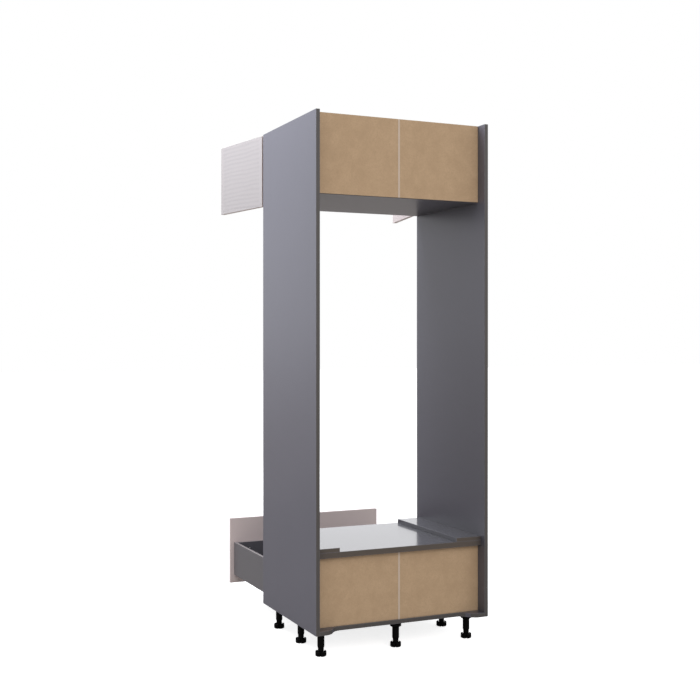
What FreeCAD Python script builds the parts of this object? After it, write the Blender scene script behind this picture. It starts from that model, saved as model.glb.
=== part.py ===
import FreeCAD, Part
import math
import os

# Tall oven housing unit, 30 inches wide, on adjustable legs.
# Frame: floor at Z = 0, origin under the middle of the carcass, the doors face -Y, +X is the
# right-hand side as seen from the front. Millimetres. The unit is drawn as it stands in use for
# loading: the drawer pulled out to its stop and the two cupboard doors swung open.

V = FreeCAD.Vector

# ---- carcass -----------------------------------------------------------------------------
UNIT_WIDTH = 762.0            # outside of the side panels
UNIT_DEPTH = 596.0            # side panels, front edge to rear edge
PANEL_HEIGHT = 2016.0
BOARD = 16.0                  # carcass board
LEG_HEIGHT = 100.0            # floor to the underside of the carcass
CUPBOARD_HEIGHT = 316.0       # top of the unit to the underside of the cupboard floor
SHELF_UNDERSIDE = 288.0       # oven shelf above the foot of the side panels
SHELF_BOARD = 22.0            # the oven shelf is thicker than the carcass
SHELF_SETBACK = 34.0          # shelf front edge behind the panels' front edges
SHELF_REAR_GAP = 29.0         # shelf rear edge short of the panels' rear edges
BATTEN_THICK = 16.0           # raises the oven off the shelf
RIGHT_BATTEN_WIDTH = 96.0
LEFT_BATTEN_WIDTH = 115.0
SCOOP_START = 22.0            # straight corner of the bottom board beside each panel
SCOOP_RUN = 84.0              # length of the S curve
SCOOP_DEPTH = 48.0            # how far the rear edge is cut back
EDGE_SOFTENING = 0.6          # rounding of the board edges

# ---- backs -------------------------------------------------------------------------------
BACK_BOARD = 3.0
BACK_INSET = 54.0             # rear face of the backs in front of the panels' rear edges
BACK_REVEAL = 2.0             # upper back stops this far above the cupboard floor's underside
GROOVE_DEPTH = 7.0
GROOVE_PLAY = 0.3             # groove wider than the back board
BACK_END_PLAY = 0.5           # back short of the groove's bottom
STRIP_FACE = 8.0              # joint strip, seen from behind
STRIP_INNER = 14.0            # joint strip, inside the unit
STRIP_WEB = 1.2
STRIP_FLANGE = 0.8
STRIP_PLAY = 0.1

# ---- fittings in the carcass joints ------------------------------------------------------
DOWEL_R = 4.0
DOWEL_IN_PANEL = 10.0
DOWEL_IN_BOARD = 20.0
DOWEL_EDGE = 30.0             # first and last dowel from the board's edges
CAM_R = 7.4
CAM_SETBACK = 34.0            # cam centre from the board's end
CAM_EDGE = 120.0              # cams from the board's front and rear edges
CAM_BELOW_BOLT = 4.5          # the cam reaches this far past the bolt's centre
CAM_BOLT_R = 3.0
CAM_BOLT_HOLE_R = 4.0
CAM_HEAD_R = 3.6
CAM_HEAD_LENGTH = 3.0
CAM_THREAD_R = 2.5
CAM_THREAD_LENGTH = 11.0
HOLE_PLAY = 0.05              # radial clearance of dowels, cams, bolts and screws
HOLE_END_PLAY = 0.5

# ---- legs --------------------------------------------------------------------------------
LEG_SIDE_INSET = 39.0         # leg centre from the panel's inner face
LEG_REAR_INSET = 84.0
LEG_MIDDLE_OFFSET = 4.0       # middle pair behind the middle of the depth
LEG_FRONT_INSET = 50.0
COLLAR_R = 22.6
COLLAR_HEIGHT = 16.5
COLLAR_CONE = 5.0             # height of the cone from the collar to the tube
TUBE_R = 13.9
TUBE_BOTTOM = 33.0            # height of the tube's mouth above the floor
TUBE_TAPER = 5.0              # the tube narrows towards its mouth
TUBE_MOUTH_WALL = 0.9
STEM_R = 11.6
STEM_PLAY = 0.08
STEM_TOP_GAP = 4.0
SOCKET_ROOF = 3.0             # plastic above the stem and above the screws' pockets
SOCKET_POCKET_R = 3.0
SOCKET_SCREW_R = 18.4         # screws from the leg's axis
FOOT_R = 21.9
FOOT_HEIGHT = 19.4
FOOT_TOP_ROUNDING = 3.0
FOOT_SOLE_ROUNDING = 3.0
FOOT_SLOTS = 5                # finger slots round the foot
FOOT_SLOT_R = 3.4
FOOT_SLOT_DEPTH = 8.0
FOOT_TURN = 63.0              # degrees, the first slot from the unit's +X
FOOT_RIM = 4.4                # width of the raised rim round the foot's top
FOOT_DISH = 3.5               # depth of the dish inside the rim

# ---- doors and drawer front --------------------------------------------------------------
FRONT_BOARD = 18.0
FRONT_STANDOFF = 2.5          # between the carcass and the back of a closed door
FRONT_MARGIN = 1.5            # door edge inside the carcass side, and half the centre gap
FRONT_ROUNDING = 1.0
DOOR_TOP_REVEAL = 2.0         # below the top of the unit
DOOR_BOTTOM_REVEAL = 9.5      # above the cupboard floor's underside
RIGHT_DOOR_OPEN = 99.9        # degrees open as drawn
LEFT_DOOR_OPEN = 101.6
DRAWER_FRONT_DROP = 3.5       # drawer front hangs below the carcass
DRAWER_FRONT_RISE = 10.0      # and rises above the shelf's underside
DRAWER_OPEN = 452.0           # travel, and the position drawn

# ---- concealed hinges, seen from above with the door shut --------------------------------
# u runs from the door's hinge edge towards the middle of the unit, v runs out of the front;
# both start at the door's outer corner on the hinge side, which is where the door turns.
HINGE_INSET = 70.0            # hinge from the door's top and bottom edges
CUP_R = 17.5
CUP_U = 22.5                  # cup centre from the door's edge
CUP_DEPTH = 11.5
CUP_WALL = 1.0
CUP_FLANGE = 1.2
CUP_WING_U = 32.0
CUP_WING_WIDTH = 12.0
CUP_WING_HEIGHT = 58.0
CUP_SCREW_Z = 24.0
CUP_PIN_U = 24.0              # cup pin from the door's edge
CUP_PIN_DEPTH = 4.0           # cup pin inside the door's back face
ARM_PIN_OUT = 7.5             # arm pin from the panel's inner face
ARM_PIN_GAP = 6.0             # arm pin behind the shut door's back face
PIN_R = 1.5
PIN_PLAY = 0.06
EYE_R = 3.2
TIE_HALF = 3.9                # half height of the tie link
SWING_INNER = 4.3             # swing link's two cheeks
SWING_OUTER = 6.3
LINK_HALF_WIDTH = 2.2
ARM_INNER = 6.7               # arm channel
ARM_OUTER = 7.9
ARM_WEB = 1.2
ARM_RISE = 10.0               # arm channel, away from the plate
ARM_REAR = 63.5               # arm's rear end behind the panel's front edge
ARM_WEB_FRONT = 14.5          # front end of its web behind the same edge
PLATE_THICK = 2.6
PLATE_SETBACK = 37.0          # plate's centre behind the same edge
PLATE_LENGTH = 30.0
PLATE_HEIGHT = 46.0
PLATE_SCREW_Z = 16.0

# ---- drawer box and runners --------------------------------------------------------------
DRAWER_SIDE_GAP = 3.5         # drawer side to panel
DRAWER_SIDE = 13.0
DRAWER_SIDE_HEIGHT = 151.0
DRAWER_SKIRT = 8.8            # drawer sides and inner front below the base, hiding the runners
DRAWER_REAR_GAP = 41.5        # shut drawer box to the back
DRAWER_BASE = 16.0
DRAWER_BACK_DROP = 20.0       # drawer back lower than the sides
RUNNER_ZONE = 27.2            # from the bottom board to the drawer base
RUNNER_INSET = 17.5           # runner's channel from the panel, inboard of the drawer side
RUNNER_FRONT_GAP = 11.0
RUNNER_REAR_GAP = 28.0        # cabinet runner to the back
RUNNER_STEEL = 1.2
RUNNER_WIDTH = 31.2
RUNNER_FOOT_GAP = 9.4         # tray above the bottom board
RUNNER_FLANGE_TOP = 17.6
RUNNER_LIP_TOP = 19.8
MIDDLE_PLAY = 0.8             # between the cabinet runner's walls and the middle runner
MIDDLE_FLOOR_PLAY = 0.6
MIDDLE_HEIGHT = 10.0
MIDDLE_LIP = 7.0
TOP_RAIL_PLAY = 0.8
TOP_RAIL_STEM = 2.0
TOP_RAIL_PLATE_FROM = 5.0     # top plate starts this far into the channel
TOP_RAIL_PLATE_TO = 26.0

# ---- screws ------------------------------------------------------------------------------
SCREW_R = 1.75
SCREW_HEAD_R = 2.4
SCREW_HEAD = 1.4
SCREW_CROSS = 1.3             # reach of the cross recess from the axis
SCREW_CROSS_WIDTH = 0.6
SCREW_CROSS_DEPTH = 0.9
RUNNER_SCREW_Z = 15.2
RUNNER_SCREW_BITE = 10.8      # each screw's length in the board that it holds to
BATTEN_SCREW_BITE = 8.0
BATTEN_SCREW_EDGE = 60.0
SOCKET_SCREW_BITE = 10.0
CUP_SCREW_BITE = 9.8
PLATE_SCREW_BITE = 9.4
FRONT_SCREW_BITE = 12.0
FRONT_SCREW_HEAD_R = 3.6

# ---- worked out --------------------------------------------------------------------------
HALF_WIDTH = UNIT_WIDTH / 2
FRONT_Y = -UNIT_DEPTH / 2
REAR_Y = UNIT_DEPTH / 2
INNER_X = HALF_WIDTH - BOARD
BOTTOM_Z = LEG_HEIGHT
BOTTOM_TOP_Z = BOTTOM_Z + BOARD
SHELF_Z = LEG_HEIGHT + SHELF_UNDERSIDE
SHELF_TOP_Z = SHELF_Z + SHELF_BOARD
SHELF_FRONT_Y = FRONT_Y + SHELF_SETBACK
SHELF_REAR_Y = REAR_Y - SHELF_REAR_GAP
TOP_Z = LEG_HEIGHT + PANEL_HEIGHT
CUPBOARD_FLOOR_Z = TOP_Z - CUPBOARD_HEIGHT
BACK_REAR_Y = REAR_Y - BACK_INSET
BACK_FRONT_Y = BACK_REAR_Y - BACK_BOARD
UPPER_BACK_Z = CUPBOARD_FLOOR_Z + BACK_REVEAL
DOOR_INNER_Y = FRONT_Y - FRONT_STANDOFF
DOOR_OUTER_Y = DOOR_INNER_Y - FRONT_BOARD
DOOR_TOP_Z = TOP_Z - DOOR_TOP_REVEAL
DOOR_BOTTOM_Z = CUPBOARD_FLOOR_Z + DOOR_BOTTOM_REVEAL
DOOR_WIDTH = HALF_WIDTH - 2 * FRONT_MARGIN
PIVOT = V(HALF_WIDTH - FRONT_MARGIN, DOOR_OUTER_Y, 0)
HINGE_HEIGHTS = (DOOR_BOTTOM_Z + HINGE_INSET, DOOR_TOP_Z - HINGE_INSET)
PANEL_U = BOARD - FRONT_MARGIN
EDGE_V = -FRONT_BOARD - FRONT_STANDOFF
CUP_PIN = (CUP_PIN_U, CUP_PIN_DEPTH - FRONT_BOARD)
ARM_PIN = (PANEL_U + ARM_PIN_OUT, -FRONT_BOARD - ARM_PIN_GAP)
PLATE_V = EDGE_V - PLATE_SETBACK
ARM_REAR_V = EDGE_V - ARM_REAR
ARM_WEB_FRONT_V = EDGE_V - ARM_WEB_FRONT
DRAWER_BASE_Z = BOTTOM_TOP_Z + RUNNER_ZONE
DRAWER_BOX_Z = DRAWER_BASE_Z - DRAWER_SKIRT
DRAWER_SIDE_X = INNER_X - DRAWER_SIDE_GAP
DRAWER_INNER_X = DRAWER_SIDE_X - DRAWER_SIDE
DRAWER_FRONT_Y = DOOR_INNER_Y - DRAWER_OPEN
DRAWER_REAR_Y = BACK_FRONT_Y - DRAWER_REAR_GAP - DRAWER_OPEN
DRAWER_BOX_TOP_Z = DRAWER_BOX_Z + DRAWER_SIDE_HEIGHT
DRAWER_BASE_TOP_Z = DRAWER_BASE_Z + DRAWER_BASE
RUNNER_FRONT_Y = FRONT_Y + RUNNER_FRONT_GAP
RUNNER_LENGTH = BACK_FRONT_Y - RUNNER_REAR_GAP - RUNNER_FRONT_Y
MIDDLE_INNER_W = RUNNER_INSET + RUNNER_WIDTH - RUNNER_STEEL - MIDDLE_PLAY
MIDDLE_OUTER_W = RUNNER_INSET + RUNNER_STEEL + MIDDLE_PLAY
MIDDLE_FLOOR_H = RUNNER_FOOT_GAP + RUNNER_STEEL + MIDDLE_FLOOR_PLAY
MIDDLE_TOP_H = MIDDLE_FLOOR_H + MIDDLE_HEIGHT

SIDES = {"right": 1, "left": -1}
DOOR_OPEN = {"right": RIGHT_DOOR_OPEN, "left": LEFT_DOOR_OPEN}
BATTEN_WIDTH = {"right": RIGHT_BATTEN_WIDTH, "left": LEFT_BATTEN_WIDTH}
LEG_X = INNER_X - LEG_SIDE_INSET
LEG_PLACES = {
    "front_right": (LEG_X, FRONT_Y + LEG_FRONT_INSET),
    "front_middle": (0.0, FRONT_Y + LEG_FRONT_INSET),
    "front_left": (-LEG_X, FRONT_Y + LEG_FRONT_INSET),
    "middle_right": (LEG_X, LEG_MIDDLE_OFFSET),
    "middle_left": (-LEG_X, LEG_MIDDLE_OFFSET),
    "rear_right": (LEG_X, REAR_Y - LEG_REAR_INSET),
    "rear_middle": (0.0, REAR_Y - LEG_REAR_INSET),
    "rear_left": (-LEG_X, REAR_Y - LEG_REAR_INSET),
}
# Each board between the side panels: underside, thickness, front edge, rear edge, and the
# face that its cams are let into (-1 underneath, 1 on top).
BOARDS = {
    "bottom_board": (BOTTOM_Z, BOARD, FRONT_Y, REAR_Y, -1),
    "oven_shelf": (SHELF_Z, SHELF_BOARD, SHELF_FRONT_Y, SHELF_REAR_Y, -1),
    "cupboard_floor": (CUPBOARD_FLOOR_Z, BOARD, FRONT_Y, BACK_FRONT_Y, 1),
    "top_board": (TOP_Z - BOARD, BOARD, FRONT_Y, BACK_FRONT_Y, 1),
}


# ---- helpers -----------------------------------------------------------------------------
def block(x0, x1, y0, y1, z0, z1):
    """A box between two corners."""
    return Part.makeBox(x1 - x0, y1 - y0, z1 - z0, V(x0, y0, z0))


def rod(start, direction, radius, length):
    """A cylinder from a point along a direction."""
    return Part.makeCylinder(radius, length, V(*start), V(*direction))


def bar_section(points, z0, z1):
    """An upright prism on a plan outline."""
    wire = Part.makePolygon([V(x, y, z0) for x, y in points] + [V(points[0][0], points[0][1], z0)])
    return Part.Face(wire).extrude(V(0, 0, z1 - z0))


def softened(shape, radius):
    """Rounds the twelve edges of a plain board."""
    return shape.makeFillet(radius, shape.Edges)


def mirrored(shape, side):
    """The right-hand piece, or its mirror image for the left."""
    if side > 0:
        return shape
    return shape.mirror(V(0, 0, 0), V(1, 0, 0))


def turned(shape, centre, degrees):
    """A copy turned about an upright axis."""
    copy = shape.copy()
    copy.rotate(centre, V(0, 0, 1), degrees)
    return copy


def spread(low, high, inset, count):
    """Evenly spaced places between two edges, the first and last inset."""
    step = (high - low - 2 * inset) / (count - 1)
    return [low + inset + step * i for i in range(count)]


def screw(seat, direction, length, head_r=SCREW_HEAD_R):
    """A pan-head screw with a cross recess: its shank runs from the seat along the direction."""
    shank = rod((0, 0, 0), (0, 0, 1), SCREW_R, length)
    head = rod((0, 0, -SCREW_HEAD), (0, 0, 1), head_r, SCREW_HEAD)
    rim = [e for e in head.Edges if e.isClosed() and e.CenterOfMass.z < 0.01 - SCREW_HEAD]
    head = head.makeFillet(SCREW_HEAD * 0.6, rim)
    low = -SCREW_HEAD - 0.1
    deep = SCREW_CROSS_DEPTH - SCREW_HEAD
    wide = SCREW_CROSS_WIDTH / 2
    cross = [block(-SCREW_CROSS, SCREW_CROSS, -wide, wide, low, deep),
             block(-wide, wide, -SCREW_CROSS, SCREW_CROSS, low, deep)]
    body = head.cut(cross).fuse(shank).removeSplitter()
    body.Placement = FreeCAD.Placement(V(*seat), FreeCAD.Rotation(V(0, 0, 1), V(*direction)))
    return body


def screw_hole(seat, direction, length):
    """The hole that a screw's shank fills."""
    return rod(seat, direction, SCREW_R + HOLE_PLAY, length + HOLE_END_PLAY)


def export(name, shape):
    """Writes one sub-part."""
    shape.exportStep("parts/" + name + ".step")


# ---- joints between the boards and the side panels ---------------------------------------
def dowel(side, y, z):
    """A grooved wooden dowel across the joint face."""
    start = (side * (INNER_X + DOWEL_IN_PANEL), y, z)
    body = rod(start, (-side, 0, 0), DOWEL_R, DOWEL_IN_PANEL + DOWEL_IN_BOARD)
    return body.makeChamfer(0.8, [e for e in body.Edges if e.isClosed()])


def dowel_hole(side, y, z):
    """Blind hole for a dowel, through both pieces."""
    start = (side * (INNER_X + DOWEL_IN_PANEL + HOLE_END_PLAY), y, z)
    length = DOWEL_IN_PANEL + DOWEL_IN_BOARD + 2 * HOLE_END_PLAY
    return rod(start, (-side, 0, 0), DOWEL_R + HOLE_PLAY, length)


def cam_bolt(side, y, z):
    """Bolt screwed into the panel, with its head in the cam."""
    thread = rod((side * INNER_X, y, z), (side, 0, 0), CAM_THREAD_R, CAM_THREAD_LENGTH)
    shank = rod((side * INNER_X, y, z), (-side, 0, 0), CAM_BOLT_R, CAM_SETBACK)
    head_x = side * (INNER_X - CAM_SETBACK)
    head = rod((head_x, y, z), (side, 0, 0), CAM_HEAD_R, CAM_HEAD_LENGTH)
    return thread.fuse([shank, head]).removeSplitter()


def cam_bolt_holes(side, y, z):
    """Thread hole in the panel and clearance hole in the board."""
    thread = rod((side * INNER_X, y, z), (side, 0, 0), CAM_THREAD_R + HOLE_PLAY,
                 CAM_THREAD_LENGTH + HOLE_END_PLAY)
    passage = rod((side * INNER_X, y, z), (-side, 0, 0), CAM_BOLT_HOLE_R, CAM_SETBACK)
    return thread.fuse(passage)


def cam(side, y, z, face, board):
    """Round cam let into a board's face, slotted for the bolt."""
    centre_x = side * (INNER_X - CAM_SETBACK)
    depth = board / 2 + CAM_BELOW_BOLT
    disc = rod((centre_x, y, z + face * board / 2), (0, 0, -face), CAM_R, depth)
    slot_r = CAM_HEAD_R + 0.4
    slot = block(min(centre_x - side * slot_r, centre_x + side * CAM_R * 1.2),
                 max(centre_x - side * slot_r, centre_x + side * CAM_R * 1.2),
                 y - slot_r, y + slot_r, z - slot_r, z + slot_r)
    cross_z = z + face * board / 2
    cross = block(centre_x - 3.0, centre_x + 3.0, y - 0.6, y + 0.6, cross_z - 2.0, cross_z + 2.0)
    cross = cross.fuse(block(centre_x - 0.6, centre_x + 0.6, y - 3.0, y + 3.0,
                             cross_z - 2.0, cross_z + 2.0))
    return disc.cut([slot, cross])


def cam_pocket(side, y, z, face, board):
    """Blind pocket for a cam."""
    start = (side * (INNER_X - CAM_SETBACK), y, z + face * board / 2)
    return rod(start, (0, 0, -face), CAM_R + HOLE_PLAY, board / 2 + CAM_BELOW_BOLT + HOLE_PLAY)


def joint_fittings():
    """Dowels, cams and bolts of every board, and the holes cut for them by board."""
    dowels = []
    cams = []
    bolts = []
    holes = {}
    for name, (z0, board, y0, y1, face) in BOARDS.items():
        z = z0 + board / 2
        holes[name] = []
        for side in SIDES.values():
            for y in spread(y0, y1, DOWEL_EDGE, 3):
                dowels.append(dowel(side, y, z))
                holes[name].append(dowel_hole(side, y, z))
            for y in spread(y0, y1, CAM_EDGE, 2):
                cams.append(cam(side, y, z, face, board))
                bolts.append(cam_bolt(side, y, z))
                holes[name].append(cam_bolt_holes(side, y, z))
                holes[name].append(cam_pocket(side, y, z, face, board))
    return dowels, cams, bolts, holes


# ---- carcass -----------------------------------------------------------------------------
def groove(z0, z1):
    """Groove for a back board in the right-hand panel."""
    play = GROOVE_PLAY / 2
    return block(INNER_X - 1.0, INNER_X + GROOVE_DEPTH, BACK_FRONT_Y - play, BACK_REAR_Y + play,
                 z0, z1)


def side_panel(side, holes):
    """Side panel with grooves for the backs and holes for the joints, plates and runners."""
    panel = softened(block(INNER_X, HALF_WIDTH, FRONT_Y, REAR_Y, BOTTOM_Z, TOP_Z), EDGE_SOFTENING)
    cuts = [groove(UPPER_BACK_Z, TOP_Z + 1.0), groove(BOTTOM_TOP_Z, SHELF_Z)]
    panel = mirrored(panel.cut(cuts), side)
    drilled = [hole for board in holes.values() for hole in board]
    drilled += [screw_hole(*place) for place in plate_screw_places(side)]
    drilled += [screw_hole(*place) for place in runner_screw_places(side)]
    return panel.cut(drilled)


def cross_board(name, holes):
    """A board between the side panels, drilled for its joints."""
    z0, board, y0, y1, _ = BOARDS[name]
    shape = softened(block(-INNER_X, INNER_X, y0, y1, z0, z0 + board), EDGE_SOFTENING)
    return shape.cut(holes[name])


def scoop():
    """The part cut away behind the bottom board, with an S curve at each end."""
    radius = (SCOOP_RUN ** 2 + SCOOP_DEPTH ** 2) / (4 * SCOOP_DEPTH)
    half = math.asin(SCOOP_RUN / 2 / radius) / 2
    start_x = INNER_X - SCOOP_START
    inner_x = start_x - SCOOP_RUN
    deep_y = REAR_Y - SCOOP_DEPTH
    middle = V(start_x - SCOOP_RUN / 2, REAR_Y - SCOOP_DEPTH / 2, BOTTOM_Z)

    def curve(side):
        upper = Part.Arc(V(side * start_x, REAR_Y, BOTTOM_Z),
                         V(side * (start_x - radius * math.sin(half)),
                           REAR_Y - radius * (1 - math.cos(half)), BOTTOM_Z),
                         V(side * middle.x, middle.y, BOTTOM_Z))
        lower = Part.Arc(V(side * middle.x, middle.y, BOTTOM_Z),
                         V(side * (inner_x + radius * math.sin(half)),
                           deep_y + radius * (1 - math.cos(half)), BOTTOM_Z),
                         V(side * inner_x, deep_y, BOTTOM_Z))
        return [upper.toShape(), lower.toShape()]

    beyond = REAR_Y + 5.0
    edges = curve(1) + curve(-1)
    edges.append(Part.makeLine(V(inner_x, deep_y, BOTTOM_Z), V(-inner_x, deep_y, BOTTOM_Z)))
    edges.append(Part.makeLine(V(start_x, REAR_Y, BOTTOM_Z), V(start_x, beyond, BOTTOM_Z)))
    edges.append(Part.makeLine(V(-start_x, REAR_Y, BOTTOM_Z), V(-start_x, beyond, BOTTOM_Z)))
    edges.append(Part.makeLine(V(start_x, beyond, BOTTOM_Z), V(-start_x, beyond, BOTTOM_Z)))
    outline = Part.Wire(Part.__sortEdges__(edges))
    cutter = Part.Face(outline).extrude(V(0, 0, BOARD + 2.0))
    cutter.translate(V(0, 0, -1.0))
    return cutter


def bottom_board(holes):
    """Bottom board, scooped out behind and drilled for the legs' screws."""
    board = cross_board("bottom_board", holes).cut(scoop())
    drilled = [screw_hole(*place) for place in socket_screw_places()]
    return board.cut(drilled)


def oven_shelf(holes):
    """Thick shelf under the oven, drilled from below for the battens' screws."""
    board = cross_board("oven_shelf", holes)
    return board.cut([screw_hole(*place) for place in batten_screw_places()])


def batten_screw_places():
    """Screws that come up through the shelf into the battens."""
    places = []
    for name, side in SIDES.items():
        x = side * (INNER_X - BATTEN_WIDTH[name] * 0.7)
        for y in spread(SHELF_FRONT_Y, SHELF_REAR_Y, BATTEN_SCREW_EDGE, 3):
            places.append(((x, y, SHELF_Z), (0, 0, 1), SHELF_BOARD + BATTEN_SCREW_BITE))
    return places


def oven_batten(name):
    """Flat batten along a side panel: the oven stands on the pair."""
    side = SIDES[name]
    x0 = INNER_X - BATTEN_WIDTH[name]
    batten = softened(block(x0, INNER_X, SHELF_FRONT_Y, SHELF_REAR_Y, SHELF_TOP_Z,
                            SHELF_TOP_Z + BATTEN_THICK), EDGE_SOFTENING)
    return mirrored(batten, side).cut([screw_hole(*place) for place in batten_screw_places()])


# ---- backs -------------------------------------------------------------------------------
def back_half(side, z0, z1):
    """Half of a back: one edge in the panel's groove, the other in the joint strip."""
    shape = block(STRIP_WEB / 2 + STRIP_PLAY, INNER_X + GROOVE_DEPTH - BACK_END_PLAY,
                  BACK_FRONT_Y, BACK_REAR_Y, z0, z1)
    return mirrored(shape, side)


def joint_strip(z0, z1, inner_z0, inner_z1):
    """H-shaped plastic strip that holds the two halves of a back together."""
    rear_y = BACK_REAR_Y + STRIP_PLAY
    front_y = BACK_FRONT_Y
    web = block(-STRIP_WEB / 2, STRIP_WEB / 2, front_y, rear_y, z0, z1)
    outer = block(-STRIP_FACE / 2, STRIP_FACE / 2, rear_y, rear_y + STRIP_FLANGE, z0, z1)
    outer = outer.makeFillet(STRIP_FLANGE * 0.4, [e for e in outer.Edges
                                                  if e.BoundBox.ZLength > 1.0
                                                  and e.BoundBox.YMin > rear_y + 0.1])
    inner = block(-STRIP_INNER / 2, STRIP_INNER / 2, front_y - STRIP_FLANGE, front_y,
                  inner_z0, inner_z1)
    return web.fuse([outer, inner]).removeSplitter()


# ---- legs --------------------------------------------------------------------------------
def leg_socket(x, y):
    """Moulded collar under the bottom board, with a tapered tube for the foot's stem."""
    collar_z = BOTTOM_Z - COLLAR_HEIGHT
    cone_z = collar_z - COLLAR_CONE
    mouth_r = STEM_R + STEM_PLAY + TUBE_MOUTH_WALL
    outline = [(0, TUBE_BOTTOM), (mouth_r, TUBE_BOTTOM), (TUBE_R, TUBE_BOTTOM + TUBE_TAPER),
               (TUBE_R, cone_z), (COLLAR_R, collar_z), (COLLAR_R, BOTTOM_Z), (0, BOTTOM_Z)]
    wire = Part.makePolygon([V(x + r, y, z) for r, z in outline] + [V(x, y, TUBE_BOTTOM)])
    body = Part.Face(wire).revolve(V(x, y, 0), V(0, 0, 1), 360)
    roof_z = BOTTOM_Z - SOCKET_ROOF
    cuts = [rod((x, y, TUBE_BOTTOM - 1.0), (0, 0, 1), STEM_R + STEM_PLAY,
                roof_z - TUBE_BOTTOM + 1.0)]
    for seat, up, length in socket_screws_of(x, y):
        cuts.append(rod((seat[0], seat[1], cone_z - 1.0), up, SOCKET_POCKET_R,
                        roof_z - cone_z + 1.0))
        cuts.append(screw_hole(seat, up, length))
    return body.cut(cuts)


def leg_foot(x, y):
    """Adjustable foot: a dished base with finger slots on a round stem."""
    base = rod((x, y, 0), (0, 0, 1), FOOT_R, FOOT_HEIGHT)
    for radius, z in ((FOOT_TOP_ROUNDING, FOOT_HEIGHT), (FOOT_SOLE_ROUNDING, 0.0)):
        base = base.makeFillet(radius, [e for e in base.Edges
                                        if e.isClosed() and abs(e.CenterOfMass.z - z) < 0.1])
    cuts = [rod((x, y, FOOT_HEIGHT - FOOT_DISH), (0, 0, 1), FOOT_R - FOOT_RIM, FOOT_DISH + 1.0)]
    reach = x + FOOT_R - FOOT_SLOT_DEPTH + FOOT_SLOT_R
    for i in range(FOOT_SLOTS):
        slot = rod((reach, y, -1.0), (0, 0, 1), FOOT_SLOT_R, FOOT_HEIGHT + 2.0)
        slot = slot.fuse(block(reach, x + FOOT_R + 1.0, y - FOOT_SLOT_R, y + FOOT_SLOT_R,
                               -1.0, FOOT_HEIGHT + 1.0))
        slot.rotate(V(x, y, 0), V(0, 0, 1), FOOT_TURN + 360.0 * i / FOOT_SLOTS)
        cuts.append(slot)
    stem_z = FOOT_HEIGHT - FOOT_DISH - 1.0
    stem_top = BOTTOM_Z - SOCKET_ROOF - STEM_TOP_GAP
    stem = rod((x, y, stem_z), (0, 0, 1), STEM_R, stem_top - stem_z)
    stem = stem.makeChamfer(1.0, [e for e in stem.Edges
                                  if e.isClosed() and e.CenterOfMass.z > stem_top - 0.1])
    return base.cut(cuts).fuse(stem).removeSplitter()


def socket_screws_of(x, y):
    """The four screws that hold one leg's socket, sunk in pockets round the tube."""
    half = SOCKET_SCREW_R * math.sqrt(0.5)
    seat_z = BOTTOM_Z - SOCKET_ROOF
    return [((x + half * sx, y + half * sy, seat_z), (0, 0, 1), SOCKET_ROOF + SOCKET_SCREW_BITE)
            for sx in (1, -1) for sy in (1, -1)]


def socket_screw_places():
    """Screws of all the legs."""
    return [place for x, y in LEG_PLACES.values() for place in socket_screws_of(x, y)]


# ---- hinges ------------------------------------------------------------------------------
def at(u, v, z):
    """A point of a right-hand hinge with the door shut, in the unit's frame."""
    return (PIVOT.x - u, PIVOT.y - v, z)


def uv_block(u0, u1, v0, v1, z0, z1):
    """A box between two hinge points."""
    return block(PIVOT.x - u1, PIVOT.x - u0, PIVOT.y - v1, PIVOT.y - v0, z0, z1)


def upright(u, v, radius, z0, z1):
    """An upright cylinder at a hinge point."""
    return rod(at(u, v, z0), (0, 0, 1), radius, z1 - z0)


def link_plate(start, end, z0, z1):
    """A link between two pins: a straight bar with a round eye at each end."""
    du = end[0] - start[0]
    dv = end[1] - start[1]
    length = math.hypot(du, dv)
    nu = -dv / length * LINK_HALF_WIDTH
    nv = du / length * LINK_HALF_WIDTH
    corners = [(start[0] + nu, start[1] + nv), (end[0] + nu, end[1] + nv),
               (end[0] - nu, end[1] - nv), (start[0] - nu, start[1] - nv)]
    bar = bar_section([at(u, v, 0)[:2] for u, v in corners], z0, z1)
    eyes = [upright(start[0], start[1], EYE_R, z0, z1), upright(end[0], end[1], EYE_R, z0, z1)]
    return bar.fuse(eyes).removeSplitter()


def knee_pin():
    """Where the swing link and the tie link meet with the door shut."""
    return (ARM_PIN[0] + CUP_PIN[0], ARM_PIN[1] + CUP_PIN[1])


def hinge_cup(z):
    """Cup with its flange and cross pin, let into the back of the door."""
    face_v = -FRONT_BOARD
    body = rod(at(CUP_U, face_v, z), (0, -1, 0), CUP_R, CUP_DEPTH)
    ring = rod(at(CUP_U, face_v, z), (0, 1, 0), CUP_R + 1.5, CUP_FLANGE)
    wing = uv_block(CUP_WING_U - CUP_WING_WIDTH / 2, CUP_WING_U + CUP_WING_WIDTH / 2,
                    face_v - CUP_FLANGE, face_v, z - CUP_WING_HEIGHT / 2, z + CUP_WING_HEIGHT / 2)
    wing = wing.makeFillet(4.0, [e for e in wing.Edges if e.BoundBox.YLength > 1.0])
    hollow = rod(at(CUP_U, face_v - CUP_FLANGE - 1.0, z), (0, -1, 0), CUP_R - CUP_WALL,
                 CUP_DEPTH + CUP_FLANGE + 1.0 - CUP_WALL)
    chord = math.sqrt((CUP_R - CUP_WALL / 2) ** 2 - (CUP_PIN[0] - CUP_U) ** 2)
    pin = upright(CUP_PIN[0], CUP_PIN[1], PIN_R, z - chord, z + chord)
    holes = [screw_hole(*place) for place in cup_screw_places(z)]
    return body.fuse([ring, wing]).cut([hollow] + holes).fuse(pin).removeSplitter()


def cup_screw_places(z):
    """The two screws of one cup."""
    seat_v = -FRONT_BOARD - CUP_FLANGE
    length = CUP_FLANGE + CUP_SCREW_BITE
    return [(at(CUP_WING_U, seat_v, z + s * CUP_SCREW_Z), (0, -1, 0), length)
            for s in (1, -1)]


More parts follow.
